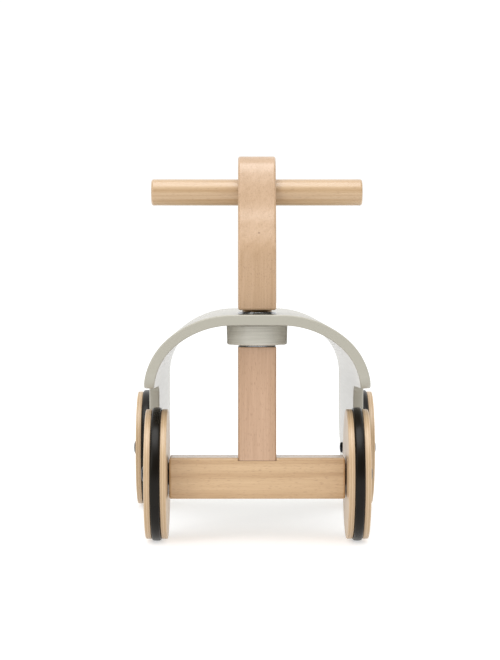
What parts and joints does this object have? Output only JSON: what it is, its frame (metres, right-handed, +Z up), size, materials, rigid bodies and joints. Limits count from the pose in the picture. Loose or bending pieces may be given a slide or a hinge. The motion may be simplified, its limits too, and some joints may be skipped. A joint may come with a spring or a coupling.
{
  "type": "toddler balance bike",
  "caption": "Low wooden balance bike for a toddler: a bent plywood saddle with rear wheels on its legs, and a turning post with a round handlebar, a cross beam and front wheels.",
  "frame": {"origin": "on the ground, midway between the sides and midway between the front of the front tyres and the rear edge of the saddle", "axes": "+Z up, -Y towards the front, +X to the left of a rider who faces forwards"},
  "size_m": [0.2936, 0.5, 0.4055],
  "materials": {
    "beech": "clear oiled beech, satin",
    "birch_ply": "clear lacquered birch plywood",
    "grey_lacquer": "warm grey satin lacquer on bent plywood",
    "tyre_rubber": "smooth matt black rubber",
    "steel": "bright zinc-plated steel",
    "black_steel": "black oxide steel",
    "bronze": "sintered bronze",
    "nylon": "natural nylon"
  },
  "bodies": {
    "frame": {"seat_shell": "grey_lacquer", "steering_block": "grey_lacquer", "steering_bush_upper": "nylon", "steering_bush_lower": "nylon", "thrust_washer_upper": "steel", "rear_axle_sleeve_left": "black_steel", "rear_axle_bolt_left": "black_steel", "rear_spacer_left": "black_steel", "rear_hub_washer_left": "steel", "rear_axle_sleeve_right": "black_steel", "rear_axle_bolt_right": "black_steel", "rear_spacer_right": "black_steel", "rear_hub_washer_right": "steel"},
    "steering": {"steering_head": "beech", "handlebar": "beech", "handlebar_screw": "steel", "steering_spindle": "steel", "head_grub_screw": "black_steel", "stem_grub_screw": "black_steel", "steering_stop_pin": "steel", "thrust_ring": "bronze", "thrust_washer_lower": "steel", "stem_post": "beech", "front_beam": "beech", "beam_screw_left": "steel", "axle_insert_left": "steel", "front_axle_bolt_left": "black_steel", "front_spacer_left": "black_steel", "front_hub_washer_left": "steel", "beam_screw_right": "steel", "axle_insert_right": "steel", "front_axle_bolt_right": "black_steel", "front_spacer_right": "black_steel", "front_hub_washer_right": "steel"},
    "wheel_front_left": {"front_wheel_left_disc_outer": "birch_ply", "front_wheel_left_disc_inner": "birch_ply", "front_wheel_left_tyre": "tyre_rubber", "front_wheel_left_core": "birch_ply", "front_wheel_left_bush": "nylon"},
    "wheel_front_right": {"front_wheel_right_disc_outer": "birch_ply", "front_wheel_right_disc_inner": "birch_ply", "front_wheel_right_tyre": "tyre_rubber", "front_wheel_right_core": "birch_ply", "front_wheel_right_bush": "nylon"},
    "wheel_rear_left": {"rear_wheel_left_disc_outer": "birch_ply", "rear_wheel_left_disc_inner": "birch_ply", "rear_wheel_left_tyre": "tyre_rubber", "rear_wheel_left_core": "birch_ply", "rear_wheel_left_bush": "nylon"},
    "wheel_rear_right": {"rear_wheel_right_disc_outer": "birch_ply", "rear_wheel_right_disc_inner": "birch_ply", "rear_wheel_right_tyre": "tyre_rubber", "rear_wheel_right_core": "birch_ply", "rear_wheel_right_bush": "nylon"}
  },
  "joints": [
    {"name": "steering", "type": "hinge", "parent": "frame", "child": "steering", "pos_m": [0, -0.18, 0.2], "axis": [0, 0, 1], "range_deg": [-25, 25]},
    {"name": "front_right_wheel_spin", "type": "hinge", "parent": "steering", "child": "wheel_front_right", "pos_m": [-0.105, -0.18, 0.07], "axis": [1, 0, 0], "continuous": true},
    {"name": "front_left_wheel_spin", "type": "hinge", "parent": "steering", "child": "wheel_front_left", "pos_m": [0.105, -0.18, 0.07], "axis": [1, 0, 0], "continuous": true},
    {"name": "rear_right_wheel_spin", "type": "hinge", "parent": "frame", "child": "wheel_rear_right", "pos_m": [-0.13033, 0.15, 0.07], "axis": [1, 0, 0], "continuous": true},
    {"name": "rear_left_wheel_spin", "type": "hinge", "parent": "frame", "child": "wheel_rear_left", "pos_m": [0.13033, 0.15, 0.07], "axis": [1, 0, 0], "continuous": true}
  ]
}
